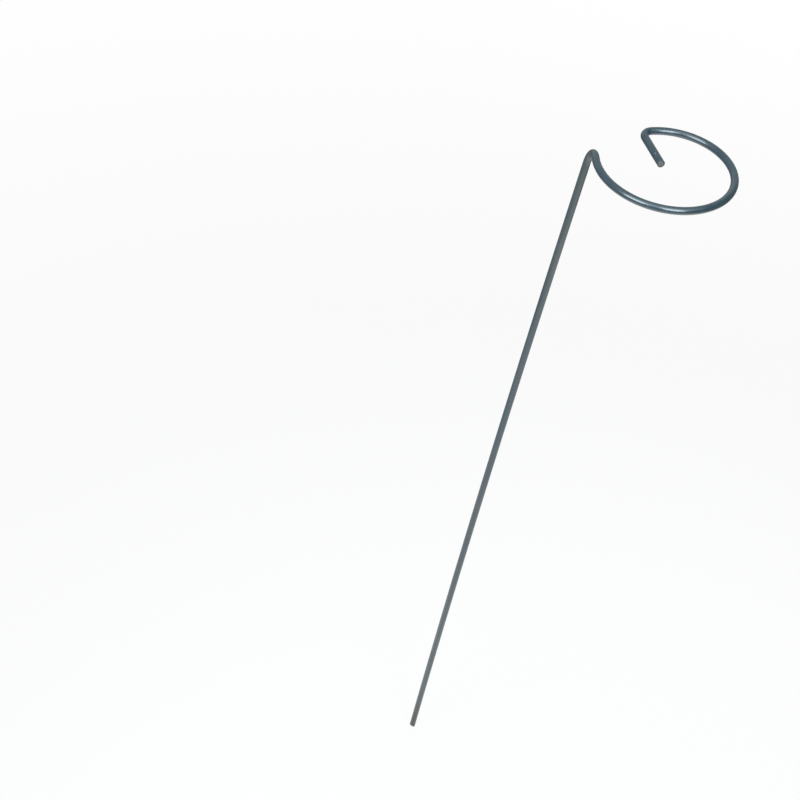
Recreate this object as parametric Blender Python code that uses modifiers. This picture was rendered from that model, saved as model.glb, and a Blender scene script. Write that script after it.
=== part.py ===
"""Plant stake: one length of plastic-coated steel wire, bent into a shaft, an open ring and an inward tail.

Metres, +Z up. The origin is the middle of the slanted cut at the ground end. The shaft stands along +Z, the
wire leans forward to -Y at its shoulder, and the ring lies across the top on the +X side of the shaft.
"""

import math

import bmesh
import bpy
from mathutils import Vector

# Wire section
COAT_DIAMETER = 0.0036
COAT_WALL = 0.0004
CORE_CLEARANCE = 0.0002

# Shaft, which bows a little to the side away from the ring
SHAFT_LENGTH = 0.440
SHAFT_BOW = 0.0014

# Shoulder, the bend of just over a quarter turn from the shaft into the ring
SHOULDER_RADIUS = 0.0109
SHOULDER_TURN = math.radians(93)

# Ring, measured on the wire's centre line: it tightens towards its free end and climbs away from the shaft
RING_START_RADIUS = 0.0335
RING_END_RADIUS = 0.02675
RING_TURN = math.radians(284)
RING_RISE = math.radians(3.9)

# Tail, bent in from the ring's free end
TAIL_BEND_RADIUS = 0.0046
TAIL_BEND_TURN = math.radians(91)
TAIL_LENGTH = 0.0196

# Ground end, snipped on a slant that faces the given heading from +X
CUT_SLANT = math.radians(35)
CUT_HEADING = math.radians(225)

# Facets: how far a flat may stand off the true curve, and the rings of faces round the wire
CHORD_ERROR = 0.00002
SECTION_RESOLUTION = 6

# Colours
COAT_COLOUR = (0.062, 0.100, 0.115, 1.0)
STEEL_COLOUR = (0.235, 0.225, 0.215, 1.0)


def clear_scene():
    for obj in list(bpy.data.objects):
        bpy.data.objects.remove(obj, do_unlink=True)


def new_collection(name):
    collection = bpy.data.collections.new(name)
    bpy.context.scene.collection.children.link(collection)
    return collection


def make_material(name, colour, roughness, metallic):
    material = bpy.data.materials.new(name)
    material.use_nodes = True
    shader = material.node_tree.nodes["Principled BSDF"]
    shader.inputs["Base Color"].default_value = colour
    shader.inputs["Roughness"].default_value = roughness
    shader.inputs["Metallic"].default_value = metallic
    material.diffuse_color = colour
    return material


def shaft_points():
    """The shaft's centre line from below the cut to the shoulder, a shallow parabola towards -X."""
    count = max(1, math.ceil(math.sqrt(SHAFT_BOW / CHORD_ERROR)))
    line = []
    for step in range(count + 1):
        share = step / count
        line.append(Vector((-4 * SHAFT_BOW * share * (1 - share), 0, SHAFT_LENGTH * share)))
    overrun = COAT_DIAMETER * (1 + math.tan(CUT_SLANT))
    below = line[0] - (line[1] - line[0]).normalized() * overrun
    return [below] + line


def arc_points(start, heading, inward, radius, turn):
    """Points after start on an arc that sets off along heading and curls towards inward."""
    step = 2 * math.acos(1 - CHORD_ERROR / radius)
    count = math.ceil(turn / step)
    angles = [turn * (index + 1) / count for index in range(count)]
    return [start + radius * ((1 - math.cos(a)) * inward + math.sin(a) * heading) for a in angles]


def curl_points(start, heading, inward, start_radius, end_radius, turn):
    """Points after start on a curl like an arc, whose curvature changes evenly between the two radii."""
    step = 2 * math.acos(1 - CHORD_ERROR / min(start_radius, end_radius))
    count = math.ceil(turn / step)
    length = 2 * turn / (1 / start_radius + 1 / end_radius)
    gain = (1 / end_radius - 1 / start_radius) / length
    place = start
    points = []
    for index in range(count):
        middle = length * (index + 0.5) / count
        angle = middle / start_radius + gain * middle**2 / 2
        place = place + length / count * (math.cos(angle) * heading + math.sin(angle) * inward)
        points.append(place)
    return points


def turned(heading, inward, turn):
    """The heading and the inward side after an arc of this turn."""
    new_heading = math.cos(turn) * heading + math.sin(turn) * inward
    new_inward = math.cos(turn) * inward - math.sin(turn) * heading
    return new_heading, new_inward


def wire_route():
    """The centre line of the whole wire, from the ground end to the end of the tail."""
    points = shaft_points()
    lean = math.atan2(4 * SHAFT_BOW, SHAFT_LENGTH)
    up = Vector((math.sin(lean), 0, math.cos(lean)))
    forward = Vector((0, -1, 0))
    points += arc_points(points[-1], up, forward, SHOULDER_RADIUS, SHOULDER_TURN)

    heading, _ = turned(up, forward, SHOULDER_TURN)
    level = (Vector((1, 0, 0)) - heading * heading.x).normalized()
    across = math.cos(RING_RISE) * level + math.sin(RING_RISE) * heading.cross(level)
    points += curl_points(points[-1], heading, across, RING_START_RADIUS, RING_END_RADIUS, RING_TURN)

    heading, inward = turned(heading, across, RING_TURN)
    points += arc_points(points[-1], heading, inward, TAIL_BEND_RADIUS, TAIL_BEND_TURN)

    heading, _ = turned(heading, inward, TAIL_BEND_TURN)
    points.append(points[-1] + heading * TAIL_LENGTH)
    return points


def wire_mesh(name, radius, capped, collection):
    """A round wire along the route as a mesh object, with or without its two end caps."""
    curve = bpy.data.curves.new(name + "_route", "CURVE")
    curve.dimensions = "3D"
    curve.bevel_depth = radius
    curve.bevel_resolution = SECTION_RESOLUTION
    curve.use_fill_caps = capped
    spline = curve.splines.new("POLY")
    route = wire_route()
    spline.points.add(len(route) - 1)
    for point, place in zip(spline.points, route):
        point.co = (*place, 1)
    guide = bpy.data.objects.new(name + "_route", curve)
    collection.objects.link(guide)

    graph = bpy.context.evaluated_depsgraph_get()
    mesh = bpy.data.meshes.new_from_object(guide.evaluated_get(graph))
    mesh.name = name
    wire = bpy.data.objects.new(name, mesh)
    wire.matrix_world = guide.matrix_world
    collection.objects.link(wire)
    bpy.data.objects.remove(guide, do_unlink=True)
    bpy.data.curves.remove(curve)

    weld = bmesh.new()
    weld.from_mesh(mesh)
    bmesh.ops.remove_doubles(weld, verts=weld.verts, dist=CORE_CLEARANCE / 100)
    bmesh.ops.recalc_face_normals(weld, faces=weld.faces)
    weld.to_mesh(mesh)
    weld.free()
    return wire


def make_ground_cutter(collection):
    """A block whose upper face is the slanted cut through the origin."""
    facing = Vector((math.cos(CUT_HEADING), math.sin(CUT_HEADING), 0))
    normal = math.sin(CUT_SLANT) * facing - math.cos(CUT_SLANT) * Vector((0, 0, 1))
    side = 6 * COAT_DIAMETER * (1 + math.tan(CUT_SLANT))
    mesh = bpy.data.meshes.new("ground_cutter")
    block = bmesh.new()
    bmesh.ops.create_cube(block, size=side)
    block.to_mesh(mesh)
    block.free()
    cutter = bpy.data.objects.new("ground_cutter", mesh)
    collection.objects.link(cutter)
    cutter.rotation_euler = normal.to_track_quat("-Z", "Y").to_euler()
    cutter.location = normal * side / 2
    cutter.hide_render = True
    cutter.display_type = "WIRE"
    return cutter


def cut_ground_end(wire, cutter):
    cut = wire.modifiers.new("ground_cut", "BOOLEAN")
    cut.operation = "DIFFERENCE"
    cut.solver = "EXACT"
    cut.object = cutter


def shade_round(wire):
    wire.data.shade_smooth()
    wire.data.set_sharp_from_angle(angle=math.radians(40))


def make_coating(collection, cutter):
    """The plastic sleeve: an open tube thickened inwards, so that both ends show the steel."""
    coating = wire_mesh("coating", COAT_DIAMETER / 2, False, collection)
    wall = coating.modifiers.new("wall", "SOLIDIFY")
    wall.thickness = COAT_WALL
    wall.offset = -1
    wall.use_even_offset = True
    cut_ground_end(coating, cutter)
    shade_round(coating)
    coating.data.materials.append(make_material("coat_plastic", COAT_COLOUR, 0.32, 0.0))
    return coating


def make_core_wire(collection, cutter):
    """The bent steel wire that fills the sleeve, less a working clearance."""
    radius = COAT_DIAMETER / 2 - COAT_WALL - CORE_CLEARANCE
    core = wire_mesh("core_wire", radius, True, collection)
    cut_ground_end(core, cutter)
    shade_round(core)
    core.data.materials.append(make_material("core_steel", STEEL_COLOUR, 0.45, 1.0))
    return core


def main():
    clear_scene()
    stake = new_collection("plant_stake")
    cutters = new_collection("cutters")
    cutters.hide_render = True
    cutter = make_ground_cutter(cutters)
    coating = make_coating(stake, cutter)
    core = make_core_wire(stake, cutter)

    ground_end = bpy.data.objects.new("plant_stake_origin", None)
    stake.objects.link(ground_end)
    coating.parent = ground_end
    core.parent = ground_end


main()
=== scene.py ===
"""Looks of the plant stake: glossy plastic-coated wire with bare steel ends, on a pale studio floor.

Metres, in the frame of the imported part: the shaft stands along +Z from the origin at its ground end, and the
ring lies across the top on the +X side. Materials read the attribute wire_mm, each point's place on the wire
as if it were pulled straight: millimetres along it from the ground end, then across it both ways.
"""

import math

import bmesh
import bpy
import numpy as np
from mathutils import Matrix, Vector


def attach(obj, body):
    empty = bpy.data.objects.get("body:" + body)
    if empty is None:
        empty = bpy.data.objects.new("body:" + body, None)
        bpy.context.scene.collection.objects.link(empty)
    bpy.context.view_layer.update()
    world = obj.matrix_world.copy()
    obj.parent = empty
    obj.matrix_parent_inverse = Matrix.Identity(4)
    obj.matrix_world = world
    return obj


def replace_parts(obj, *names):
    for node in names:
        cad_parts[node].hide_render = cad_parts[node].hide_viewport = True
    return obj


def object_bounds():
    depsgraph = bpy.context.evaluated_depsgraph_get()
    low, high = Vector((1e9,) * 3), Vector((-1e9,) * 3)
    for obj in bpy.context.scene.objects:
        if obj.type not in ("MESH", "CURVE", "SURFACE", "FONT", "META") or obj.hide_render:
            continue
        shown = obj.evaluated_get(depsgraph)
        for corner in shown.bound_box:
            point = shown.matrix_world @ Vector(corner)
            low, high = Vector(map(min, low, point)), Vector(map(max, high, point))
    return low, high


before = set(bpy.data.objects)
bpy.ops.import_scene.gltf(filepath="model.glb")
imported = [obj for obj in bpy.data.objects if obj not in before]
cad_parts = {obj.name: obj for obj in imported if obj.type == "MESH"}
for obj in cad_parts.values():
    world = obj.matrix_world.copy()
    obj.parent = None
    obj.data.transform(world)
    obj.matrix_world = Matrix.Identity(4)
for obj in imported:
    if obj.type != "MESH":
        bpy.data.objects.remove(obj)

CAD_LOW, CAD_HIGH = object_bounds()
MM = 0.001
FULL_TURN = 2 * math.pi

# Wire section
COAT_RADIUS = 1.773 * MM
CORE_RADIUS = 1.20 * MM
BORE_RADIUS = 1.25 * MM
LIP_RADIUS = 1.215 * MM

# Route of the wire, as the solids follow it
SHAFT_LENGTH = 440 * MM
SHAFT_BOW = 1.4 * MM
SHOULDER_RADIUS = 10.9 * MM
SHOULDER_TURN = math.radians(93)
RING_START_RADIUS = 33.5 * MM
RING_END_RADIUS = 26.75 * MM
RING_TURN = math.radians(284)
RING_RISE = math.radians(3.9)
TAIL_BEND_RADIUS = 4.6 * MM
TAIL_BEND_TURN = math.radians(91)
TAIL_LENGTH = 19.6 * MM

# Slanted cut at the ground end, and the length in which the rows of faces above it turn square to the wire
CUT_SLANT = math.radians(35)
CUT_HEADING = math.radians(225)
CUT_FADE = 12 * MM

# Uneven skin of the coat: depth, length along the wire, lobes round it, and where each wave starts
COAT_WAVES = (
    (0.004 * MM, 41 * MM, 1, 0.4),
    (0.003 * MM, 23 * MM, 2, 1.9),
    (0.002 * MM, 9.7 * MM, 1, 4.1),
)

# Creases in the coat inside the tail bend, and the power that narrows them round the wire
CREASES = 4
CREASE_DEPTH = 0.05 * MM
CREASE_WIDTH = 0.28 * MM
CREASE_POWER = 3

# Nick in the coat, on the upper side of the tail
NICK_FROM_END = 6.2 * MM
NICK_ANGLE = 2.15
NICK_LENGTH = 0.8 * MM
NICK_WIDTH = 0.45 * MM
NICK_DEPTH = 0.07 * MM

# Ends of the coat: the flat of its lips, where its bore starts, and the side where the tail's lip is rolled
LIP_FLAT = 0.06 * MM
BORE_DEPTH = 0.30 * MM
ROLL_ANGLE = 2.2

# Faces of the steel: how far inside the coat they lie, and their rings' shares of its radius and rounding
GROUND_INSET = 0.03 * MM
TAIL_INSET = 0.05 * MM
FACE_RINGS = (0, 0.2, 0.4, 0.6, 0.8, 0.94, 1.0)
FACE_ROUNDING = (0, 0, 0, 0, 0, 0.01 * MM, 0.06 * MM)

# Fineness of the meshes
SHAFT_STEP = 1.5 * MM
RING_STEP = 0.8 * MM
BEND_STEP = 0.12 * MM
TAIL_STEP = 0.25 * MM
INNER_STEP = 12 * MM
INNER_TURN = math.radians(4)
COAT_SIDES = 40
CORE_SIDES = 24
WELD_DISTANCE = 0.001 * MM

# Map OFBake: its strips, their margins as shares of a strip, and how far bore, core and faces are stretched
UV_STRIPS = 9
UV_END_MARGIN = 0.01
UV_SIDE_MARGIN = 0.05
UV_BORE = 0.1
UV_CORE = 0.05
UV_FACE = 8

# Colours of the coat
SLATE_DARK = (0.027, 0.057, 0.072, 1)
SLATE_LIGHT = (0.037, 0.073, 0.091, 1)
STREAK = (0.050, 0.089, 0.107, 1)
NICK_PALE = (0.16, 0.22, 0.27, 1)
# Dust on the shaft, which also lightens it as a painted sheen in place of part of the floor's reflection
DUST_AND_SHEEN = (0.38, 0.33, 0.23, 1)
SOIL = (0.038, 0.036, 0.034, 1)
CUT_PLASTIC = (0.11, 0.107, 0.10, 1)

# Colours of the steel
GREY_LIGHT = (0.36, 0.38, 0.39, 1)
GREY_DARK = (0.25, 0.25, 0.24, 1)
BROWN_LIGHT = (0.25, 0.22, 0.19, 1)
BROWN_DARK = (0.13, 0.10, 0.08, 1)

# Noise: cells per millimetre along the wire and across it both ways, detail and roughness
MOTTLE = ((0.35, 0.35, 0.35), 4.0, 0.6)
STREAKS = ((0.03, 1.7, 1.7), 3.0, 0.6)
DUST_PATCHES = ((0.02, 0.8, 0.8), 4.0, 0.6)
NICK_EDGE = ((2.2, 2.2, 2.2), 3.0, 0.5)
PEEL = ((0.6, 0.6, 0.6), 3.0, 0.5)
DRAWN_LINES = ((0.04, 2.5, 2.5), 2.0, 0.5)
TARNISH = ((1.6, 1.6, 1.6), 4.0, 0.65)
SHEAR_MARKS = ((1.0, 2.0, 9.0), 3.0, 0.6)

# Heights of the fine relief
PEEL_HEIGHT = 0.0014 * MM
LINE_HEIGHT = 0.0008 * MM
SHEAR_HEIGHT = 0.03 * MM

# What a pattern turns into: two values of it, and what they become
MOTTLE_SHARE = ((0.3, 0.7), (0.0, 1.0))
STREAK_SHARE = ((0.45, 0.75), (0.0, 0.35))
# Share of the dust patches: dust, and partly a painted sheen on the shaft
DUST_AND_SHEEN_SHARE = ((0.35, 0.7), (0.015, 0.105))
NICK_SHARE = ((0.8, 1.7), (1.0, 0.0))
TARNISH_SHARE = ((0.4, 0.65), (0.0, 1.0))
COAT_ROUGHNESS = ((0.3, 0.7), (0.22, 0.28))
STEEL_ROUGHNESS = ((0.3, 0.7), (0.48, 0.68))

# Changes along the wire: two places in millimetres from the ground end, and the shares there
SOIL_FADE = ((3.0, 45.0), (0.9, 0.0))
# More dust low and high on the shaft and less towards the ring: dust, and partly a painted sheen for the
# floor's reflection on the shaft
SPLASH_AND_SHEEN_FADE = ((90.0, 190.0), (0.07, 0.0))
SETTLED_AND_SHEEN_RISE = ((320.0, 400.0), (0.0, 0.08))
DUST_AND_SHEEN_FADE = ((432.0, 475.0), (1.0, 0.1))
CLEAR_RISE = ((452.0, 475.0), (0.0, 1.0))
WEAR_RISE = ((520.0, 570.0), (0.0, 0.25))
GREY_RISE = ((200.0, 400.0), (0.0, 1.0))

# The same at the tail's cut, in millimetres from the tail's end
CUT_RISE = ((-0.42, -0.12), (0.0, 1.0))

# Gloss of the plastic
PLASTIC_IOR = 1.75
CLEAR_ROUGHNESS = 0.17
CUT_ROUGHNESS = 0.65

# Floor, pale in a patch before the stake, with changes by the distance from the middle of that patch
FLOOR_REACH = 6.0
FLOOR_PALE = (0.9, 0.9, 0.9, 1)
FLOOR_DIM = (0.32, 0.32, 0.32, 1)
FLOOR_ROUGHNESS = 0.9
PATCH_PLACE = (0.16, -0.2, CAD_LOW.z)
PATCH_FADE = ((0.28, 0.7), (1.0, 0.0))
WHITE_RISE = ((0.4, 1.4), (0.92, 1.0))

# Room that reflections see, with changes by the direction's X, its nearness to the ceiling's, and its Y
ROOM_LEFT = (0.25, 0.27, 0.29, 1)
ROOM_RIGHT = (0.08, 0.09, 0.10, 1)
ROOM_CHANGE = ((-0.8, 0.4), (0.0, 1.0))
CEILING = (1.12, 1.21, 1.30, 1)
CEILING_WAY = Vector((-0.04, -0.30, 0.95)).normalized()
CEILING_RISE = ((0.7, 1.0), (0.0, 1.0))
BACKDROP = (1, 1, 1, 1)
BACKDROP_RISE = ((0.4, 0.9), (0.0, 0.34))

# Light that fills in, with its change by the direction's Y
FILL_FRONT = (0.12, 0.125, 0.13, 1)
FILL_BEHIND = (1.0, 1.03, 1.06, 1)
FILL_CHANGE = ((-0.2, 0.7), (0.0, 1.0))

# Soft lamps: azimuth from -Y towards +X and elevation, both in degrees, then width, height and radiance
SOFTBOXES = {
    "softbox_left": (-49.5, 33, 0.57, 0.75, 6.2),
    "softbox_right": (9.5, 38, 0.5, 0.8, 6.0),
}
LAMP_COLOUR = (0.84, 0.93, 1.0)
LAMP_TARGET = Vector((0.03, -0.014, 0.453))
LAMP_DISTANCE = 1.1

# Camera, fitted to the photograph's 800 x 800 frame
CAMERA_PLACE = Vector((-0.1520, -0.5595, 0.7956))
CAMERA_HEADING = math.radians(9.569)
CAMERA_PITCH = math.radians(42.10)
CAMERA_ROLL = math.radians(13.462)
CAMERA_FIELD = math.radians(30.255)
CAMERA_NEAR = 0.01


def arc(start, heading, inward, radius, turn, step):
    """Points after start on an arc that sets off along heading and curls towards inward."""
    count = math.ceil(radius * turn / step)
    angle = turn * np.arange(1, count + 1)[:, None] / count
    return start + radius * ((1 - np.cos(angle)) * inward + np.sin(angle) * heading)


def curl(start, heading, inward, start_radius, end_radius, turn, step):
    """Points after start on a curl like an arc, whose curvature changes evenly between the two radii."""
    length = 2 * turn / (1 / start_radius + 1 / end_radius)
    count = math.ceil(length / step)
    middle = length * (np.arange(count)[:, None] + 0.5) / count
    angle = middle / start_radius + (1 / end_radius - 1 / start_radius) / length * middle**2 / 2
    return start + length / count * np.cumsum(np.cos(angle) * heading + np.sin(angle) * inward, axis=0)


def turned(heading, inward, turn):
    """The heading and the inward side after an arc of this turn."""
    ahead = math.cos(turn) * heading + math.sin(turn) * inward
    side = math.cos(turn) * inward - math.sin(turn) * heading
    return ahead, side


class Wire:
    """The wire's centre line from the ground end to the tail, with two sides that don't twist round it."""

    def __init__(self):
        share = np.linspace(0, 1, math.ceil(SHAFT_LENGTH / SHAFT_STEP) + 1)
        shaft = np.stack([-4 * SHAFT_BOW * share * (1 - share), 0 * share, SHAFT_LENGTH * share], 1)
        lean = math.atan2(4 * SHAFT_BOW, SHAFT_LENGTH)
        up = np.array([math.sin(lean), 0, math.cos(lean)])
        forward = np.array([0.0, -1.0, 0.0])
        shoulder = arc(shaft[-1], up, forward, SHOULDER_RADIUS, SHOULDER_TURN, RING_STEP)

        heading, _ = turned(up, forward, SHOULDER_TURN)
        level = np.array([1.0, 0.0, 0.0]) - heading * heading[0]
        level /= np.linalg.norm(level)
        across = math.cos(RING_RISE) * level + math.sin(RING_RISE) * np.cross(heading, level)
        ring = curl(shoulder[-1], heading, across, RING_START_RADIUS, RING_END_RADIUS, RING_TURN, RING_STEP)

        heading, inward = turned(heading, across, RING_TURN)
        bend = arc(ring[-1], heading, inward, TAIL_BEND_RADIUS, TAIL_BEND_TURN, BEND_STEP)
        heading, _ = turned(heading, inward, TAIL_BEND_TURN)
        steps = np.arange(1, math.ceil(TAIL_LENGTH / TAIL_STEP) + 1)[:, None]
        tail = bend[-1] + heading * TAIL_LENGTH * steps / len(steps)

        self.places = np.concatenate([shaft, shoulder, ring, bend, tail])
        gaps = np.linalg.norm(np.diff(self.places, axis=0), axis=1)
        self.along = np.concatenate([[0], np.cumsum(gaps)])
        self.heading = np.gradient(self.places, self.along, axis=0)
        self.heading /= np.linalg.norm(self.heading, axis=1)[:, None]
        self.side = np.zeros_like(self.places)
        self.side[0] = np.cross([0, 1, 0], self.heading[0])
        for index in range(1, len(self.places)):
            carried = self.side[index - 1]
            carried = carried - self.heading[index] * (carried @ self.heading[index])
            self.side[index] = carried / np.linalg.norm(carried)
        self.over = np.cross(self.heading, self.side)

        first = len(shaft) + len(shoulder) + len(ring) - 1
        self.bend_start = self.along[first]
        self.bend_end = self.along[first + len(bend)]
        self.bend_inner = math.atan2(inward @ self.over[first], inward @ self.side[first])

    def inner_stations(self):
        """Stations between the ends for the bore and the core, closer together where the wire bends."""
        cosine = np.sum(self.heading[1:] * self.heading[:-1], axis=1)
        turn = np.arccos(np.clip(cosine, -1, 1))
        pace = np.cumsum(turn / INNER_TURN + np.diff(self.along) / INNER_STEP)
        return np.unique(1 + np.searchsorted(pace, np.arange(1, math.floor(pace[-1]))))

    def cut_shift(self, radius, angle):
        """How far along the wire a point of the ground end lies, to be on the slanted cut."""
        facing = np.array([math.cos(CUT_HEADING), math.sin(CUT_HEADING), 0])
        normal = math.sin(CUT_SLANT) * facing - math.cos(CUT_SLANT) * np.array([0, 0, 1])
        offset = np.cos(angle) * (self.side[0] @ normal) + np.sin(angle) * (self.over[0] @ normal)
        return -radius * offset / (self.heading[0] @ normal)

    def skin(self, stations, radius, shift, angle):
        """Points round the wire at these stations, and the same points with the wire pulled straight."""
        sideways = (radius * np.cos(angle))[..., None]
        upwards = (radius * np.sin(angle))[..., None]
        points = self.places[stations][:, None] + shift[..., None] * self.heading[stations][:, None]
        points = points + sideways * self.side[stations][:, None] + upwards * self.over[stations][:, None]
        along = (self.along[stations][:, None] + shift)[..., None]
        return points, np.concatenate([along, sideways, upwards], axis=2)


def round_angles(sides):
    return FULL_TURN * np.arange(sides) / sides


def coat_radius(wire, angle):
    """The coat's outer radius by station and angle: uneven, creased inside the tail bend, nicked once."""
    along = wire.along[:, None]
    radius = COAT_RADIUS + 0 * along * angle
    for depth, length, lobes, lead in COAT_WAVES:
        radius = radius + depth * np.sin(FULL_TURN * along / length + lobes * angle + lead)
    inside = np.clip(np.cos(angle - wire.bend_inner), 0, 1) ** CREASE_POWER
    for crease in range(CREASES):
        middle = wire.bend_start + (wire.bend_end - wire.bend_start) * (crease + 0.5) / CREASES
        radius = radius - CREASE_DEPTH * inside * np.exp(-(((along - middle) / CREASE_WIDTH) ** 2))
    off_along = (along - wire.along[-1] + NICK_FROM_END) / NICK_LENGTH
    off_across = 2 * COAT_RADIUS * np.sin((angle - NICK_ANGLE) / 2) / NICK_WIDTH
    return radius - NICK_DEPTH * np.exp(-(off_along**2) - off_across**2)


def tail_lip(skin, angle):
    """Radius and shift of each ring of the tail's lip, which the shears rolled over on one side."""
    roll = 0.5 + 0.5 * np.cos(angle - ROLL_ANGLE)
    rings = [
        (skin - 0.02 * MM - 0.05 * MM * roll, -0.10 * MM - 0.10 * MM * roll),
        (skin - 0.08 * MM - 0.12 * MM * roll, -0.03 * MM - 0.03 * MM * roll),
        (skin - 0.20 * MM - 0.14 * MM * roll, 0.0),
        (LIP_RADIUS + LIP_FLAT, -0.01 * MM),
        (LIP_RADIUS - 0.20 * MM * (1 - roll) ** 2, -0.025 * MM),
        (LIP_RADIUS, -0.045 * MM),
        (BORE_RADIUS, -BORE_DEPTH),
    ]
    return [(radius + 0 * angle, shift + 0 * angle) for radius, shift in rings]


def ground_lip(wire, angle):
    """Radius and shift of each ring of the ground end's lip, which follows the slanted cut."""
    rings = [
        (BORE_RADIUS, BORE_DEPTH),
        (LIP_RADIUS, 0.05 * MM),
        (LIP_RADIUS + LIP_FLAT, 0.01 * MM),
        (COAT_RADIUS - 0.20 * MM, 0.0),
        (COAT_RADIUS - 0.07 * MM, 0.03 * MM),
        (COAT_RADIUS - 0.01 * MM, 0.11 * MM),
    ]
    return [(radius + 0 * angle, lift + wire.cut_shift(radius, angle)) for radius, lift in rings]


def make_mesh(name, points, straight, uv_weights, closed):
    """A mesh of quads between rows of points.

    A closed mesh joins its last row back to its first. The first and last rows of an open one are each a
    single spot, and close its two ends. The map OFBake lays the rows out as strips, stretched by uv_weights.
    """
    rows, sides = points.shape[:2]
    spans = rows if closed else rows - 1
    row = np.repeat(np.arange(spans), sides)
    side = np.tile(np.arange(sides), spans)
    here = row * sides
    after = (row + 1) % rows * sides
    beside = (side + 1) % sides
    corners = np.stack([here + side, here + beside, after + beside, after + side], 1)

    travel = np.linalg.norm(np.diff(points, axis=0, append=points[:1]), axis=2).mean(axis=1)
    start = np.concatenate([[0], np.cumsum(travel * uv_weights)])
    strip_length = start[spans] / UV_STRIPS
    strip = np.minimum(start[row] // strip_length, UV_STRIPS - 1)
    low = start[row] / strip_length - strip
    high = start[row + 1] / strip_length - strip
    length = (1 - 2 * UV_END_MARGIN) / high.max()
    low = UV_END_MARGIN + length * low
    high = UV_END_MARGIN + length * high
    width = (1 - 2 * UV_SIDE_MARGIN) / sides
    left = (strip + UV_SIDE_MARGIN + width * side) / UV_STRIPS
    right = (strip + UV_SIDE_MARGIN + width * (side + 1)) / UV_STRIPS
    layout = np.stack([low, left, low, right, high, right, high, left], 1)

    mesh = bpy.data.meshes.new(name)
    mesh.from_pydata(points.reshape(-1, 3).tolist(), [], corners.tolist())
    mesh.uv_layers.new(name="OFBake").uv.foreach_set("vector", layout.ravel().astype(np.float32))
    attribute = mesh.attributes.new("wire_mm", "FLOAT_VECTOR", "POINT")
    attribute.data.foreach_set("vector", (straight / MM).ravel().astype(np.float32))
    if not closed:
        spots = bmesh.new()
        spots.from_mesh(mesh)
        bmesh.ops.remove_doubles(spots, verts=spots.verts, dist=WELD_DISTANCE)
        spots.to_mesh(mesh)
        spots.free()
    mesh.shade_smooth()
    return mesh


def add_piece(name, mesh, material):
    piece = bpy.data.objects.new(name, mesh)
    bpy.context.scene.collection.objects.link(piece)
    mesh.materials.append(material)
    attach(piece, "root")
    return piece


def make_coat(wire, material):
    """The plastic sleeve, a closed shell with a bore, whose lips close on the steel at both ends."""
    angle = round_angles(COAT_SIDES)
    outer = coat_radius(wire, angle)
    fade = np.clip(1 - wire.along / CUT_FADE, 0, 1)[:, None]
    outer_shift = fade * wire.cut_shift(outer[0], angle)
    last = len(wire.along) - 1
    tail_radius, tail_shift = zip(*tail_lip(outer[last], angle))
    bore = wire.inner_stations()[::-1]
    bore_radius = np.full((len(bore), COAT_SIDES), BORE_RADIUS)
    ground_radius, ground_shift = zip(*ground_lip(wire, angle))

    tail = [last] * len(tail_radius)
    ground = [0] * len(ground_radius)
    stations = np.concatenate([np.arange(1, last), tail, bore, ground])
    radius = np.concatenate([outer[1:last], tail_radius, bore_radius, ground_radius])
    shift = np.concatenate([outer_shift[1:last], tail_shift, 0 * bore_radius, ground_shift])
    points, straight = wire.skin(stations, radius, shift, angle)
    weights = np.ones(len(stations))
    weights[last - 2 + len(tail):-len(ground)] = UV_BORE
    mesh = make_mesh("coat", points, straight, weights, closed=True)
    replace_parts(add_piece("coat", mesh, material), "coating")


def make_core(wire, material):
    """The steel wire inside, with two sheared faces."""
    angle = round_angles(CORE_SIDES)
    last = len(wire.along) - 1
    face = np.array(FACE_RINGS)[:, None] * CORE_RADIUS
    edge = np.array(FACE_ROUNDING)[:, None]
    middle = wire.inner_stations()
    middle_radius = np.full((len(middle), 1), CORE_RADIUS)
    stations = np.concatenate([[0] * len(face), middle, [last] * len(face)])
    radius = np.concatenate([face, middle_radius, face[::-1]]) + 0 * angle
    ground = edge + GROUND_INSET + wire.cut_shift(face, angle)
    tail = -TAIL_INSET - edge[::-1] + 0 * angle
    shift = np.concatenate([ground, 0 * middle_radius * angle, tail])
    points, straight = wire.skin(stations, radius, shift, angle)
    weights = np.full(len(stations), UV_CORE)
    weights[:len(face) - 1] = UV_FACE
    weights[-len(face):] = UV_FACE
    mesh = make_mesh("core", points, straight, weights, closed=False)
    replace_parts(add_piece("core", mesh, material), "core_wire")


def new_material(name):
    material = bpy.data.materials.new(name)
    material.use_nodes = True
    return material, material.node_tree, material.node_tree.nodes["Principled BSDF"]


def feed(tree, socket, value):
    """Links a socket to another one, or sets its value."""
    if isinstance(value, bpy.types.NodeSocket):
        tree.links.new(value, socket)
    else:
        socket.default_value = value


def wire_place(tree):
    node = tree.nodes.new("ShaderNodeAttribute")
    node.attribute_name = "wire_mm"
    return node.outputs["Vector"]


def axis_of(tree, vector, axis):
    node = tree.nodes.new("ShaderNodeSeparateXYZ")
    feed(tree, node.inputs[0], vector)
    return node.outputs[axis]


def vector_math(tree, operation, first, second=None):
    """An operation on vectors, whose result is a single value for a distance, length or dot product."""
    node = tree.nodes.new("ShaderNodeVectorMath")
    node.operation = operation
    feed(tree, node.inputs[0], first)
    if second is not None:
        feed(tree, node.inputs[1], second)
    single = operation in ("DISTANCE", "LENGTH", "DOT_PRODUCT")
    return node.outputs["Value" if single else "Vector"]


def noise(tree, place, pattern):
    """Noise at a place on the wire, with a pattern of cells, detail and roughness."""
    cells, detail, roughness = pattern
    node = tree.nodes.new("ShaderNodeTexNoise")
    feed(tree, node.inputs["Vector"], vector_math(tree, "MULTIPLY", place, cells))
    node.inputs["Scale"].default_value = 1.0
    node.inputs["Detail"].default_value = detail
    node.inputs["Roughness"].default_value = roughness
    return node.outputs["Fac"]


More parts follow.
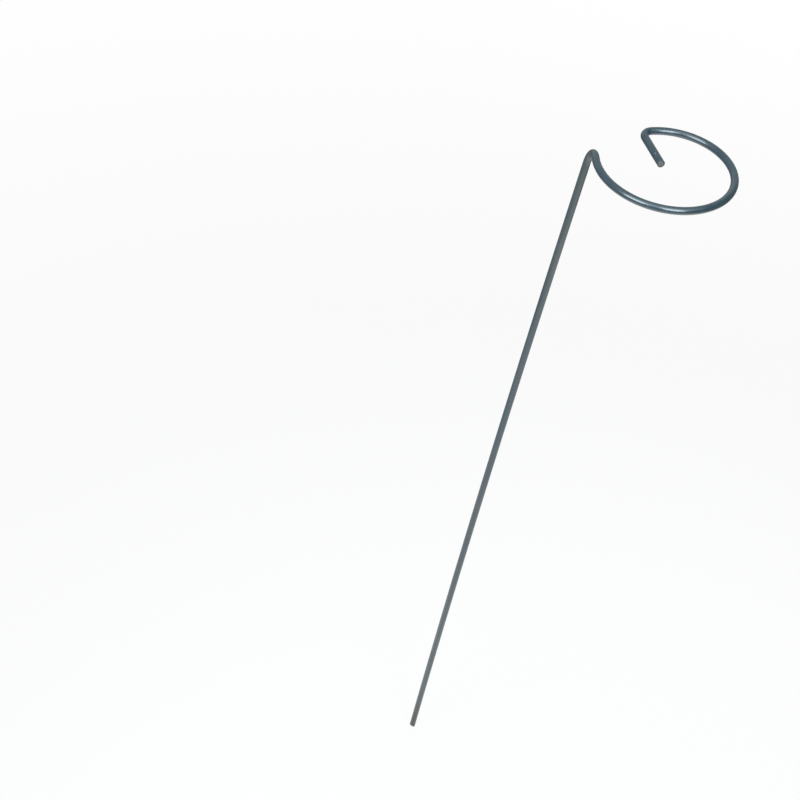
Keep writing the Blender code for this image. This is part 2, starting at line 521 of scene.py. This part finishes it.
def ramp(tree, value, source, target):
    """The value mapped smoothly from the source's two values to the target's."""
    node = tree.nodes.new("ShaderNodeMapRange")
    node.interpolation_type = "SMOOTHSTEP"
    feed(tree, node.inputs["Value"], value)
    node.inputs["From Min"].default_value, node.inputs["From Max"].default_value = source
    node.inputs["To Min"].default_value, node.inputs["To Max"].default_value = target
    return node.outputs["Result"]


def arithmetic(tree, operation, first, second):
    node = tree.nodes.new("ShaderNodeMath")
    node.operation = operation
    feed(tree, node.inputs[0], first)
    feed(tree, node.inputs[1], second)
    return node.outputs[0]


def blended(tree, factor, first, second):
    node = tree.nodes.new("ShaderNodeMix")
    node.data_type = "RGBA"
    feed(tree, node.inputs["Factor"], factor)
    feed(tree, node.inputs[6], first)
    feed(tree, node.inputs[7], second)
    return node.outputs[2]


def bumped(tree, height, distance, under=None):
    node = tree.nodes.new("ShaderNodeBump")
    node.inputs["Distance"].default_value = distance
    feed(tree, node.inputs["Height"], height)
    if under is not None:
        feed(tree, node.inputs["Normal"], under)
    return node.outputs["Normal"]


def nick_share(tree, place, wire):
    """1 in the nick, fading unevenly to 0 round it."""
    middle = Vector((wire.along[-1] - NICK_FROM_END, 0, 0))
    middle += COAT_RADIUS * Vector((0, math.cos(NICK_ANGLE), math.sin(NICK_ANGLE)))
    offset = vector_math(tree, "SUBTRACT", place, middle / MM)
    spread = Vector((NICK_LENGTH, NICK_WIDTH, NICK_WIDTH)) / MM
    distance = vector_math(tree, "LENGTH", vector_math(tree, "DIVIDE", offset, spread))
    ragged = arithmetic(tree, "ADD", distance, noise(tree, place, NICK_EDGE))
    return ramp(tree, ragged, *NICK_SHARE)


def dust_and_sheen_share(tree, place, along):
    """Dust in patches, with more of it low and high on the shaft, and little on the ring. It also lightens the
    shaft as a painted sheen, in place of part of the floor's reflection.
    """
    patches = ramp(tree, noise(tree, place, DUST_PATCHES), *DUST_AND_SHEEN_SHARE)
    splash_and_sheen = ramp(tree, along, *SPLASH_AND_SHEEN_FADE)
    settled_and_sheen = ramp(tree, along, *SETTLED_AND_SHEEN_RISE)
    share = arithmetic(tree, "ADD", patches, arithmetic(tree, "ADD", splash_and_sheen, settled_and_sheen))
    return arithmetic(tree, "MULTIPLY", share, ramp(tree, along, *DUST_AND_SHEEN_FADE))


def coat_material(wire):
    """Dark slate-green plastic: glossy on the ring, dusty along the shaft and soiled at its ground end. The
    dust also lightens the shaft as a painted sheen.
    """
    material, tree, shader = new_material("coat_plastic")
    place = wire_place(tree)
    along = axis_of(tree, place, "X")
    mottle = noise(tree, place, MOTTLE)
    past_end = arithmetic(tree, "SUBTRACT", along, wire.along[-1] / MM)
    cut = ramp(tree, past_end, *CUT_RISE)

    colour = blended(tree, ramp(tree, mottle, *MOTTLE_SHARE), SLATE_DARK, SLATE_LIGHT)
    colour = blended(tree, ramp(tree, noise(tree, place, STREAKS), *STREAK_SHARE), colour, STREAK)
    colour = blended(tree, nick_share(tree, place, wire), colour, NICK_PALE)
    # Dust, which also paints part of the shaft's sheen from the floor's reflection
    colour = blended(tree, dust_and_sheen_share(tree, place, along), colour, DUST_AND_SHEEN)
    colour = blended(tree, ramp(tree, along, *SOIL_FADE), colour, SOIL)
    colour = blended(tree, cut, colour, CUT_PLASTIC)
    feed(tree, shader.inputs["Base Color"], colour)

    skin_roughness = ramp(tree, mottle, *COAT_ROUGHNESS)
    cut_roughness = arithmetic(tree, "MULTIPLY", cut, CUT_ROUGHNESS)
    feed(tree, shader.inputs["Roughness"], arithmetic(tree, "MAXIMUM", skin_roughness, cut_roughness))
    peel = bumped(tree, noise(tree, place, PEEL), PEEL_HEIGHT)
    lines = bumped(tree, noise(tree, place, DRAWN_LINES), LINE_HEIGHT, peel)
    feed(tree, shader.inputs["Normal"], lines)
    shader.inputs["IOR"].default_value = PLASTIC_IOR

    worn = ramp(tree, along, *WEAR_RISE)
    clear = arithmetic(tree, "SUBTRACT", ramp(tree, along, *CLEAR_RISE), worn)
    uncut = arithmetic(tree, "SUBTRACT", 1.0, cut)
    feed(tree, shader.inputs["Coat Weight"], arithmetic(tree, "MULTIPLY", clear, uncut))
    shader.inputs["Coat Roughness"].default_value = CLEAR_ROUGHNESS
    return material


def steel_material():
    """Bare sheared steel: dull grey on the tail, browner at the ground end."""
    material, tree, shader = new_material("core_steel")
    place = wire_place(tree)
    tarnish = noise(tree, place, TARNISH)
    dulled = ramp(tree, tarnish, *TARNISH_SHARE)
    grey = blended(tree, dulled, GREY_LIGHT, GREY_DARK)
    brown = blended(tree, dulled, BROWN_LIGHT, BROWN_DARK)
    tailwards = ramp(tree, axis_of(tree, place, "X"), *GREY_RISE)
    feed(tree, shader.inputs["Base Color"], blended(tree, tailwards, brown, grey))
    feed(tree, shader.inputs["Roughness"], ramp(tree, tarnish, *STEEL_ROUGHNESS))
    feed(tree, shader.inputs["Normal"], bumped(tree, noise(tree, place, SHEAR_MARKS), SHEAR_HEIGHT))
    shader.inputs["Metallic"].default_value = 1.0
    return material


def seen_white(tree, mirrored):
    """1 for a ray from the camera or through glass, the mirrored share for a reflection, else 0."""
    rays = tree.nodes.new("ShaderNodeLightPath")
    seen = arithmetic(tree, "MAXIMUM", rays.outputs["Is Camera Ray"], rays.outputs["Is Transmission Ray"])
    reflected = arithmetic(tree, "MULTIPLY", rays.outputs["Is Glossy Ray"], mirrored)
    return arithmetic(tree, "MAXIMUM", seen, reflected)


def make_floor():
    """A floor that the camera sees white. Reflections see it white before the stake and dim further off."""
    mesh = bpy.data.meshes.new("floor")
    corners = [(-1, -1), (1, -1), (1, 1), (-1, 1)]
    edge = [(FLOOR_REACH * x, FLOOR_REACH * y, CAD_LOW.z) for x, y in corners]
    mesh.from_pydata(edge, [], [(0, 1, 2, 3)])
    floor = bpy.data.objects.new("floor", mesh)
    bpy.context.scene.collection.objects.link(floor)

    material, tree, shader = new_material("floor_white")
    mesh.materials.append(material)
    spot = tree.nodes.new("ShaderNodeTexCoord").outputs["Object"]
    distance = vector_math(tree, "DISTANCE", spot, PATCH_PLACE)
    near = ramp(tree, distance, *PATCH_FADE)
    feed(tree, shader.inputs["Base Color"], blended(tree, near, FLOOR_DIM, FLOOR_PALE))
    shader.inputs["Roughness"].default_value = FLOOR_ROUGHNESS

    glow = tree.nodes.new("ShaderNodeEmission")
    share = ramp(tree, distance, *WHITE_RISE)
    mix = tree.nodes.new("ShaderNodeMixShader")
    feed(tree, mix.inputs[0], arithmetic(tree, "MULTIPLY", seen_white(tree, near), share))
    feed(tree, mix.inputs[1], shader.outputs[0])
    feed(tree, mix.inputs[2], glow.outputs[0])
    feed(tree, tree.nodes["Material Output"].inputs["Surface"], mix.outputs[0])


def make_world():
    """A white backdrop that fills in from behind. Reflections see a dim room with a bright ceiling."""
    world = bpy.data.worlds.new("studio")
    world.use_nodes = True
    bpy.context.scene.world = world
    tree = world.node_tree
    direction = tree.nodes.new("ShaderNodeTexCoord").outputs["Generated"]
    rightwards = axis_of(tree, direction, "X")
    backwards = axis_of(tree, direction, "Y")
    upwards = vector_math(tree, "DOT_PRODUCT", direction, CEILING_WAY)

    room = blended(tree, ramp(tree, rightwards, *ROOM_CHANGE), ROOM_LEFT, ROOM_RIGHT)
    room = blended(tree, ramp(tree, upwards, *CEILING_RISE), room, CEILING)
    fill = blended(tree, ramp(tree, backwards, *FILL_CHANGE), FILL_FRONT, FILL_BEHIND)
    rays = tree.nodes.new("ShaderNodeLightPath")
    light = blended(tree, rays.outputs["Is Diffuse Ray"], room, fill)
    white = seen_white(tree, ramp(tree, backwards, *BACKDROP_RISE))
    feed(tree, tree.nodes["Background"].inputs["Color"], blended(tree, white, light, BACKDROP))


def add_softbox(name, azimuth, elevation, width, height, radiance):
    """A soft lamp that looks at the ring from this direction."""
    lamp = bpy.data.lights.new(name, "AREA")
    lamp.shape = "RECTANGLE"
    lamp.size = width
    lamp.size_y = height
    lamp.energy = math.pi * width * height * radiance
    lamp.color = LAMP_COLOUR
    softbox = bpy.data.objects.new(name, lamp)
    bpy.context.scene.collection.objects.link(softbox)
    turn = math.radians(azimuth)
    climb = math.radians(elevation)
    way = Vector((math.cos(climb) * math.sin(turn), -math.cos(climb) * math.cos(turn), math.sin(climb)))
    softbox.location = LAMP_TARGET + LAMP_DISTANCE * way
    softbox.rotation_euler = (-way).to_track_quat("-Z", "Y").to_euler()


def make_camera():
    camera = bpy.data.cameras.new("camera")
    camera.sensor_fit = "HORIZONTAL"
    camera.angle = CAMERA_FIELD
    camera.clip_start = CAMERA_NEAR
    eye = bpy.data.objects.new("camera", camera)
    bpy.context.scene.collection.objects.link(eye)
    aim = Matrix.Rotation(-CAMERA_HEADING, 4, "Z") @ Matrix.Rotation(math.pi / 2 - CAMERA_PITCH, 4, "X")
    eye.matrix_world = Matrix.Translation(CAMERA_PLACE) @ aim @ Matrix.Rotation(CAMERA_ROLL, 4, "Z")
    bpy.context.scene.camera = eye


def main():
    wire = Wire()
    make_coat(wire, coat_material(wire))
    make_core(wire, steel_material())
    make_floor()
    make_world()
    for name, settings in SOFTBOXES.items():
        add_softbox(name, *settings)
    make_camera()
    bpy.context.scene.view_settings.view_transform = "Standard"


main()
